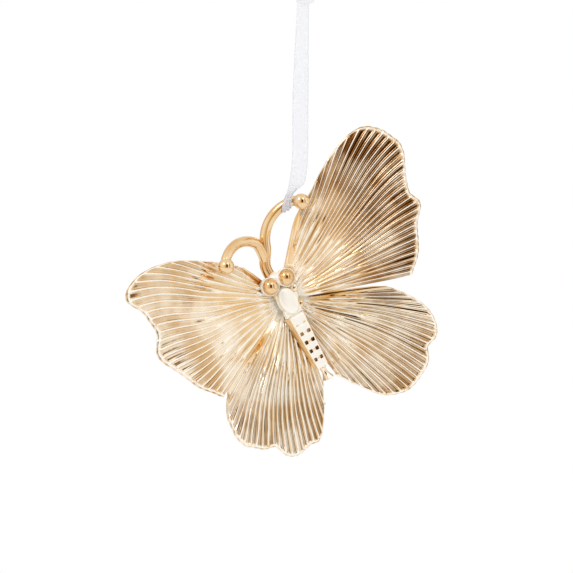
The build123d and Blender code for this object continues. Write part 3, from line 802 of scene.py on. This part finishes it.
for side, path in (("right", right_path), ("left", left_path)):
    steps = np.linspace(0, 1, len(path))
    radii = WIRE_RADIUS * (1.2 - 0.2 * steps + 0.10 * ease(steps, 0.93, 1.0))
    if side == "left":
        radii = radii * (0.8 + 0.2 * ease(steps, 0.0, 0.25))
    gold_piece(side + "_antenna_wire", [tube(path, radii)], [side + "_antenna"], WIRE_SHADE)
    ball_node = side + "_antenna_ball"
    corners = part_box(ball_node)
    middle = (np.array(corners[0]) + np.array(corners[1])) / 2 / MM
    drift = np.linalg.norm(middle - hung(np.array(path[-1])))
    heading = np.array(path[-1]) - np.array(path[-2])
    heading /= np.linalg.norm(heading)
    cross_one = np.cross(heading, [0.2, 1, 0.3])
    cross_one /= np.linalg.norm(cross_one)
    ball = [(BALL_RADIUS * sin(t), -BALL_RADIUS * cos(t)) for t in np.linspace(0, pi, 49)]
    skin = lathe(ball, path[-1], heading, (cross_one, np.cross(heading, cross_one)), 72)
    gold_piece(ball_node + "_skin", [skin], [ball_node], WIRE_SHADE)
    print(side, "ball is", round(float(drift), 3), "mm from the measured one")

# %% [markdown]
# ## Rim grains and brazing beads
# A tiny grain of metal stands at each rib's end, and four larger beads of braze sit where the wing
# roots meet the body. Both are the same thing repeated, so one node tree scatters a lumpy bead on
# given points, each with its own size and turn.

# %% Bead scatter
beads_tree = bpy.data.node_groups.new("lumpy_beads", "GeometryNodeTree")
interface = beads_tree.interface
interface.new_socket("Geometry", in_out="INPUT", socket_type="NodeSocketGeometry")
radius_socket = interface.new_socket("Bead Radius", in_out="INPUT", socket_type="NodeSocketFloat")
spread_socket = interface.new_socket("Size Spread", in_out="INPUT", socket_type="NodeSocketFloat")
seed_socket = interface.new_socket("Seed", in_out="INPUT", socket_type="NodeSocketInt")
interface.new_socket("Geometry", in_out="OUTPUT", socket_type="NodeSocketGeometry")
given = add_node(beads_tree, "NodeGroupInput")
drop = add_node(
    beads_tree, "GeometryNodeMeshUVSphere", {"Segments": 24, "Rings": 14, "Radius": given.outputs["Bead Radius"]}
)
low = add_node(beads_tree, "ShaderNodeMath", {0: 1.0, 1: given.outputs["Size Spread"]}, operation="SUBTRACT")
sizes = add_node(beads_tree, "FunctionNodeRandomValue", data_type="FLOAT")
beads_tree.links.new(low.outputs[0], sizes.inputs[2])
sizes.inputs[3].default_value = 1.0
beads_tree.links.new(given.outputs["Seed"], sizes.inputs["Seed"])
spins = add_node(beads_tree, "FunctionNodeRandomValue", data_type="FLOAT_VECTOR")
spins.inputs[1].default_value = (2 * pi, 2 * pi, 2 * pi)
beads_tree.links.new(given.outputs["Seed"], spins.inputs["Seed"])
scatter = add_node(
    beads_tree, "GeometryNodeInstanceOnPoints",
    {"Points": given.outputs["Geometry"], "Instance": drop.outputs["Mesh"], "Scale": sizes.outputs[1]},
)
beads_tree.links.new(spins.outputs[0], scatter.inputs["Rotation"])
real = add_node(beads_tree, "GeometryNodeRealizeInstances", {"Geometry": scatter.outputs[0]})
coated = add_node(beads_tree, "GeometryNodeSetMaterial", {"Geometry": real.outputs[0], "Material": gold})
result = add_node(beads_tree, "NodeGroupOutput", {"Geometry": coated.outputs[0]})


def scatter_beads(name, points, radius, spread, seed, squash):
    """Lumpy beads on points of the butterfly's own frame, as one plain mesh piece."""
    cloud = bpy.data.meshes.new(name + "_points")
    cloud.from_pydata((hung(points) * MM).tolist(), [], [])
    holder = bpy.data.objects.new(name + "_points", cloud)
    scene.collection.objects.link(holder)
    modifier = holder.modifiers.new("beads", "NODES")
    modifier.node_group = beads_tree
    modifier[radius_socket.identifier] = radius * MM
    modifier[spread_socket.identifier] = spread
    modifier[seed_socket.identifier] = seed
    graph = bpy.context.evaluated_depsgraph_get()
    mesh = bpy.data.meshes.new_from_object(holder.evaluated_get(graph))
    bpy.data.objects.remove(holder)
    for polygon in mesh.polygons:
        polygon.use_smooth = True
    lump = np.random.default_rng(seed)
    waves = lump.normal(0, 1.1, (3, 3)) / radius
    for vertex in mesh.vertices:
        spot = np.array(vertex.co) / MM
        vertex.co = vertex.co + Vector(np.sin(waves @ spot) * squash * radius * MM)
    mesh.materials.clear()
    mesh.materials.append(gold)
    piece = bpy.data.objects.new(name, mesh)
    scene.collection.objects.link(piece)
    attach(piece, "butterfly")
    print(name, "has", len(points), "beads")
    return piece


grains = scatter_beads("rim_grains", np.concatenate(rib_ends)[1::3], 0.5, 0.5, 5, 0.0)
braze_places = []
for form, angle, radius in ((FOREWING, 30, 1.3), (HINDWING, -46, 1.6)):
    for side in (1, -1):
        tilt = radians(form["tilt"])
        span = np.array([side * cos(tilt), -sin(tilt), 0])
        face = np.array([-side * sin(tilt), -cos(tilt), 0])
        distance = 3.4 + radius * 0.8
        over = (distance + radius) / form["reach"]
        rise = 4 * form["bow"] * over * (1 - over) + 0.8 * over + radius + 0.1
        flat = span * distance * cos(radians(angle)) + up * distance * sin(radians(angle))
        braze_places.append(HUB_CENTRE + flat + face * rise)
braze = scatter_beads("braze_beads", np.array(braze_places), 1.5, 0.1, 3, 0.08)
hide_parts("brazing_beads")

# %% [markdown]
# ## Hub
# The hub is a short plain drum that the wing roots close round. Little of it shows, so the measured
# shape stays and takes the gold plate.

# %% Hub material
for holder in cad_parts["wing_hub"].material_slots:
    holder.material = gold
print("hub keeps its measured shape")

# %% [markdown]
# ## Light and background
# The ornament was shot on white with broad soft light. Polished gold shows the room, so the room has
# bright panels above and to the left and a warm dark side towards the camera, which gives the brown
# reflections. Seen by the camera the surroundings are plain white.

# %% Light, floor and world
WALLS = [
    (-150, "#8A6A42"), (-115, "#E8D0AC"), (-75, "#FFFFFF"), (-45, "#FFFAF2"), (-22, "#F6E6CC"),
    (-8, "#E4C69A"), (1, "#8A663E"), (6, "#362008"), (23, "#362008"), (26, "#7A5A34"), (30, "#FFFFFF"),
    (45, "#FFFFFF"), (48, "#7A5426"), (55, "#7A5426"), (60, "#FFF6E8"), (66, "#FFFFFF"), (100, "#FFFFFF"), (110, "#D8B888"),
    (125, "#E8D0AC"), (145, "#8A6A42"),
]
scene.view_settings.view_transform = "Standard"
world = bpy.data.worlds.new("studio")
scene.world = world
world.use_nodes = True
tree = world.node_tree
tree.nodes.clear()
way = add_node(tree, "ShaderNodeTexCoord")
parts = add_node(tree, "ShaderNodeSeparateXYZ", {"Vector": way.outputs["Generated"]})
toward = add_node(tree, "ShaderNodeMath", {0: parts.outputs["Y"], 1: -1.0}, operation="MULTIPLY")
bearing = add_node(tree, "ShaderNodeMath", {0: parts.outputs["X"], 1: toward.outputs[0]}, operation="ARCTAN2")
turn_share = add_node(
    tree, "ShaderNodeMapRange", {"Value": bearing.outputs[0], "From Min": -pi, "From Max": pi}
)
walls = add_node(tree, "ShaderNodeValToRGB", {"Fac": turn_share.outputs[0]})
for degrees, tone in WALLS:
    mark = walls.color_ramp.elements.new((degrees + 180) / 360)
    mark.color = to_linear(tone)
above = add_node(
    tree, "ShaderNodeMapRange",
    {"Value": parts.outputs["Z"], "From Min": 0.35, "From Max": 0.75, "To Min": 0.0, "To Max": 0.85},
)
with_top = add_node(tree, "ShaderNodeMix", {0: above.outputs[0], 6: walls.outputs[0]}, data_type="RGBA")
with_top.inputs[7].default_value = to_linear("#FFF9F0")
below = add_node(
    tree, "ShaderNodeMapRange",
    {"Value": parts.outputs["Z"], "From Min": -0.15, "From Max": -0.32, "To Min": 0.0, "To Max": 0.9},
)
with_low = add_node(tree, "ShaderNodeMix", {0: below.outputs[0], 6: with_top.outputs[2]}, data_type="RGBA")
with_low.inputs[7].default_value = to_linear("#F0D4AE")
ground = add_node(
    tree, "ShaderNodeMapRange",
    {"Value": parts.outputs["Z"], "From Min": -0.50, "From Max": -0.80, "To Min": 0.0, "To Max": 0.9},
)
around = add_node(tree, "ShaderNodeMix", {0: ground.outputs[0], 6: with_low.outputs[2]}, data_type="RGBA")
around.inputs[7].default_value = to_linear("#4A3014")
rays = add_node(tree, "ShaderNodeLightPath")
room_side = add_node(
    tree, "ShaderNodeMapRange",
    {"Value": parts.outputs["Y"], "From Min": 0.85, "From Max": 0.55, "To Min": 0.0, "To Max": 1.0},
)
panels = add_node(
    tree, "ShaderNodeMath", {0: rays.outputs["Is Glossy Ray"], 1: room_side.outputs[0]}, operation="MULTIPLY"
)
shown = add_node(tree, "ShaderNodeMix", {0: panels.outputs[0], 7: around.outputs[2]}, data_type="RGBA")
shown.inputs[6].default_value = (1, 1, 1, 1)
light = add_node(tree, "ShaderNodeBackground", {"Color": shown.outputs[2], "Strength": 1.0})
add_node(tree, "ShaderNodeOutputWorld", {"Surface": light.outputs[0]})


def soft_light(name, place, aim, size, watts, tone):
    """A square soft light that faces a point."""
    lamp = bpy.data.lights.new(name, "AREA")
    lamp.size = size
    lamp.energy = watts
    lamp.color = to_linear(tone)[:3]
    holder = bpy.data.objects.new(name, lamp)
    holder.location = place
    holder.rotation_euler = (Vector(aim) - Vector(place)).to_track_quat("-Z", "Y").to_euler()
    scene.collection.objects.link(holder)


ornament = (0, 0, -0.09)
soft_light("key_light", (-0.7, -0.8, 0.7), ornament, 0.4, 2.5, "#FFFBF5")
soft_light("fill_light", (0.5, -1.0, 0.9), ornament, 0.6, 1.0, "#FFFBF5")

floor_mesh = bpy.data.meshes.new("floor")
floor_half, floor_height = 1.2, cad_box[0][2] - 0.45
floor_mesh.from_pydata(
    [(x * floor_half, y * floor_half, floor_height) for x, y in ((-1, -1), (1, -1), (1, 1), (-1, 1))],
    [], [(0, 1, 2, 3)],
)
paper = bpy.data.materials.new("white_paper")
paper.use_nodes = True
tree = paper.node_tree
grain = add_node(tree, "ShaderNodeTexNoise", {"Scale": 60.0})
sheet = add_node(tree, "ShaderNodeMix", {0: grain.outputs[0]}, data_type="RGBA")
sheet.inputs[6].default_value = to_linear("#F4F4F4")
sheet.inputs[7].default_value = to_linear("#FAFAFA")
tree.links.new(sheet.outputs[2], tree.nodes["Principled BSDF"].inputs["Base Color"])
tree.nodes["Principled BSDF"].inputs["Roughness"].default_value = 0.9
floor_mesh.materials.append(paper)
floor = bpy.data.objects.new("floor", floor_mesh)
scene.collection.objects.link(floor)
print("room, two soft lights and a floor")

# %% End
print("scene built")
